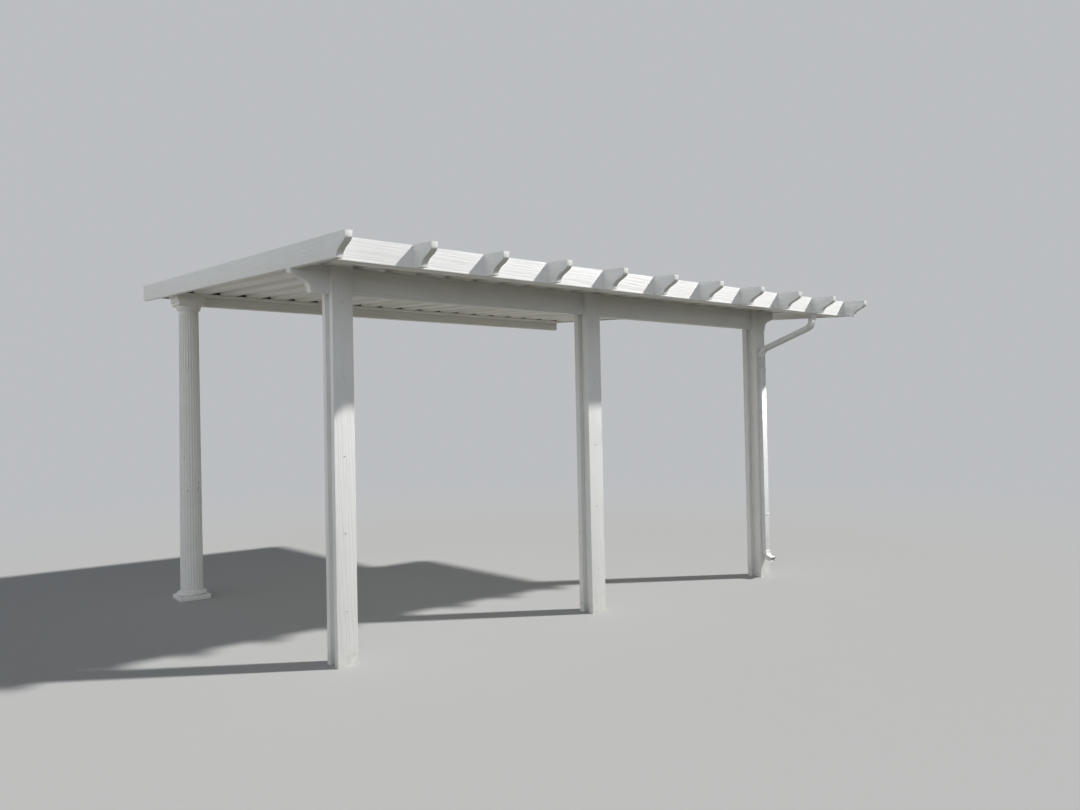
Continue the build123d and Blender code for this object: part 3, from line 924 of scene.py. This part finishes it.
def sealant_bead(shape, start, end):
    """Round bead between two points."""
    start, end = Vector(start), Vector(end)
    run = end - start
    made = bmesh.ops.create_cone(shape, cap_ends=True, segments=14, radius1=sealant_radius,
                                 radius2=sealant_radius, depth=run.length)["verts"]
    stand(shape, made, (start + end) / 2, run)


def gutter_sealant():
    """Three beads at each end of the trough: along its floor and up both walls."""
    shape = bmesh.new()
    front = gutter_low[1] + gutter_bead_reach + gutter_wall
    back = front + trough_depth
    set_in = sealant_radius * sealant_set_in
    for x in (roof_left + set_in, roof_right - set_in):
        front_corner = (x, front, gutter_floor)
        back_corner = (x, back, gutter_floor)
        sealant_bead(shape, front_corner, back_corner)
        sealant_bead(shape, front_corner, (x, front, gutter_floor + front_seam_height))
        sealant_bead(shape, back_corner, (x, back, gutter_floor + rear_seam_height))
    piece = finish_piece(shape, "gutter_end_sealant", sealant_finish, smooth_below=50.0)


gutter_sealant()


# Flange of the gutter's outlet, bedded round its hole in the floor

flange_margin = 0.020        # the flange is this much wider and deeper than the outlet
flange_band = 0.0115         # width of the flange's frame
flange_thick = 0.0014


def outlet_flange():
    """Thin frame round the hole, lying on the gutter's floor."""
    shape = bmesh.new()
    middle = Vector((outlet_x, outlet_y, gutter_floor))
    made = bmesh.ops.create_grid(shape, x_segments=1, y_segments=1, size=0.5)["verts"]
    bmesh.ops.scale(shape, vec=(pipe_wide + flange_margin, pipe_deep + flange_margin, 1.0),
                    verts=made)
    bmesh.ops.translate(shape, vec=middle, verts=made)
    bmesh.ops.inset_region(shape, faces=shape.faces[:], thickness=flange_band,
                           use_boundary=True, use_even_offset=True)
    hole = min(shape.faces, key=lambda face: (face.calc_center_median() - middle).length)
    bmesh.ops.delete(shape, geom=[hole], context="FACES")
    bmesh.ops.solidify(shape, geom=shape.faces[:], thickness=-flange_thick)
    face_outwards(shape)
    ease_arrises(shape, sheet_ease)
    piece = finish_piece(shape, "outlet_flange", downspout_finish)


outlet_flange()


# Rivets at the joints of the downspout

rivet_radius = 0.0032
rivet_over_joint = 0.024
rivet_in_outlet = 0.014      # over the outlet's lower end
rivet_sunk = 0.0005
rivet_line = pipe_wide / 2 - rivet_sunk


def rivet(shape, place, outward):
    """Domed head set on a place, standing along outward."""
    made = bmesh.ops.create_uvsphere(shape, u_segments=14, v_segments=8,
                                     radius=rivet_radius)["verts"]
    bmesh.ops.scale(shape, vec=(1.0, 1.0, 0.5), verts=made)
    stand(shape, made, place, outward)


def downspout_rivets():
    """A rivet on each side of the two slip joints and of the outlet."""
    shape = bmesh.new()
    joints = [(pipe_x, pipe_y, pipe_top + rivet_over_joint),
              (pipe_x, pipe_y, shoe_top + rivet_over_joint),
              (outlet_x, outlet_y, outlet_low[2] + rivet_in_outlet)]
    for x, y, height in joints:
        for side in (-1, 1):
            rivet(shape, (x + side * rivet_line, y, height), (side, 0, 0))
    piece = finish_piece(shape, "downspout_rivets", screw_finish, smooth_below=60.0)


downspout_rivets()


# Camera, where the photograph was taken from

camera_place = (-5.4067, -7.4274, 1.7942)
camera_yaw = math.radians(38.544)
camera_pitch = math.radians(1.029)
camera_roll = math.radians(-1.140)
film_width = 36.0            # film and lens in millimetres
focal_length = 27.67


def photo_camera():
    """Camera at the photograph's place, looking the same way through the same lens."""
    level = math.cos(camera_pitch)
    ahead = Vector((math.sin(camera_yaw) * level, math.cos(camera_yaw) * level,
                    math.sin(camera_pitch)))
    right = Vector((math.cos(camera_yaw), -math.sin(camera_yaw), 0.0))
    above = right.cross(ahead)
    across = right * math.cos(camera_roll) + above * math.sin(camera_roll)
    upright = above * math.cos(camera_roll) - right * math.sin(camera_roll)
    lens = bpy.data.cameras.new("photo_camera")
    lens.sensor_width = film_width
    lens.lens = focal_length
    lens.clip_end = 200.0
    camera = bpy.data.objects.new("photo_camera", lens)
    turn = Matrix((across, upright, -ahead)).transposed().to_4x4()
    camera.matrix_world = Matrix.Translation(camera_place) @ turn
    scene.collection.objects.link(camera)
    scene.camera = camera


photo_camera()


# Floor, backdrop and light

backdrop_grey = (0.50, 0.515, 0.53)
floor_grey = (0.47, 0.47, 0.465)
bounce_in_front = (0.11, 0.105, 0.085)
bounce_under_roof = (0.44, 0.42, 0.36)
floor_half_width = 60.0
posts_line = (-2.2, -1.4)            # Y where the front ends and the roofed floor starts
right_edge = (3.6, 2.8)              # X where the roofed floor ends on the right
backdrop_from = (6.0, 13.0)          # the floor turns into the backdrop this far out
sky_colour = (0.90, 0.96, 1.03)
sky_up = (0.90, 0.08)                # strength at the horizon and overhead
sky_across = (1.28, 0.34)            # share from the left and from the right
sky_along = (1.26, 0.80)             # share from the front and from the rear
sun_colour = (1.0, 0.985, 0.965)
sun_strength = 4.0
sun_width = math.radians(2.5)
sun_travel = Vector((-1.52, 1.0, -1.58))


def looked_at(tree):
    """1 where the camera looks, straight on, in gloss or through glass, 0 for the lighting."""
    rays = tree.nodes.new("ShaderNodeLightPath").outputs
    mirrored = combine(tree, "MAXIMUM", rays["Is Camera Ray"], rays["Is Glossy Ray"])
    return combine(tree, "MAXIMUM", mirrored, rays["Is Transmission Ray"])


def floor_finish():
    """Pale matt floor round the pergola that fades into the plain backdrop further off.

    The light that it throws back is weak in front and stronger under the roof."""
    material = bpy.data.materials.new("pale_floor")
    material.use_nodes = True
    tree = material.node_tree
    tree.nodes.clear()
    seen = looked_at(tree)
    behind_posts = spread(tree, coordinate(tree, "Object", "Y"), *posts_line)
    inside_right = spread(tree, coordinate(tree, "Object", "X"), *right_edge)
    under_roof = combine(tree, "MULTIPLY", behind_posts, inside_right)
    bounce = tint(tree, under_roof, bounce_in_front, bounce_under_roof)
    matt = tree.nodes.new("ShaderNodeBsdfDiffuse")
    tree.links.new(tint(tree, seen, bounce, floor_grey), matt.inputs["Color"])
    far = tree.nodes.new("ShaderNodeEmission")
    far.inputs["Color"].default_value = (*backdrop_grey, 1.0)
    far.inputs["Strength"].default_value = 1.0
    distance = tree.nodes.new("ShaderNodeVectorMath")
    distance.operation = "LENGTH"
    place = tree.nodes.new("ShaderNodeTexCoord")
    tree.links.new(place.outputs["Object"], distance.inputs[0])
    fade = spread(tree, distance.outputs["Value"], *backdrop_from)
    mix = tree.nodes.new("ShaderNodeMixShader")
    tree.links.new(combine(tree, "MULTIPLY", fade, seen), mix.inputs["Fac"])
    tree.links.new(matt.outputs["BSDF"], mix.inputs[1])
    tree.links.new(far.outputs["Emission"], mix.inputs[2])
    output = tree.nodes.new("ShaderNodeOutputMaterial")
    tree.links.new(mix.outputs["Shader"], output.inputs["Surface"])
    return material


def lay_floor():
    """Wide flat floor under the posts' feet."""
    shape = bmesh.new()
    bmesh.ops.create_grid(shape, x_segments=1, y_segments=1, size=floor_half_width)
    mesh = bpy.data.meshes.new("floor")
    shape.to_mesh(mesh)
    shape.free()
    mesh.materials.append(floor_finish())
    floor = bpy.data.objects.new("floor", mesh)
    scene.collection.objects.link(floor)


def studio_world():
    """Soft light from all round, with the plain backdrop for what the camera sees."""
    world = bpy.data.worlds.new("studio")
    world.use_nodes = True
    tree = world.node_tree
    tree.nodes.clear()
    up = spread(tree, coordinate(tree, "Generated", "Z"), 0.0, 1.0, *sky_up)
    across = spread(tree, coordinate(tree, "Generated", "X"), -1.0, 1.0, *sky_across)
    along = spread(tree, coordinate(tree, "Generated", "Y"), -1.0, 1.0, *sky_along)
    level = combine(tree, "MULTIPLY", up, combine(tree, "MULTIPLY", across, along))
    light = tree.nodes.new("ShaderNodeBackground")
    light.inputs["Color"].default_value = (*sky_colour, 1.0)
    tree.links.new(level, light.inputs["Strength"])
    backdrop = tree.nodes.new("ShaderNodeBackground")
    backdrop.inputs["Color"].default_value = (*backdrop_grey, 1.0)
    backdrop.inputs["Strength"].default_value = 1.0
    mix = tree.nodes.new("ShaderNodeMixShader")
    tree.links.new(looked_at(tree), mix.inputs["Fac"])
    tree.links.new(light.outputs["Background"], mix.inputs[1])
    tree.links.new(backdrop.outputs["Background"], mix.inputs[2])
    output = tree.nodes.new("ShaderNodeOutputWorld")
    tree.links.new(mix.outputs["Shader"], output.inputs["Surface"])
    scene.world = world


def key_light():
    """Key from the right front and high, as the light falls in the photograph."""
    lamp = bpy.data.lights.new("key", "SUN")
    lamp.energy = sun_strength
    lamp.angle = sun_width
    lamp.color = sun_colour
    key = bpy.data.objects.new("key", lamp)
    key.matrix_world = sun_travel.to_track_quat("-Z", "Y").to_matrix().to_4x4()
    scene.collection.objects.link(key)


lay_floor()
studio_world()
key_light()
scene.view_settings.view_transform = "Standard"
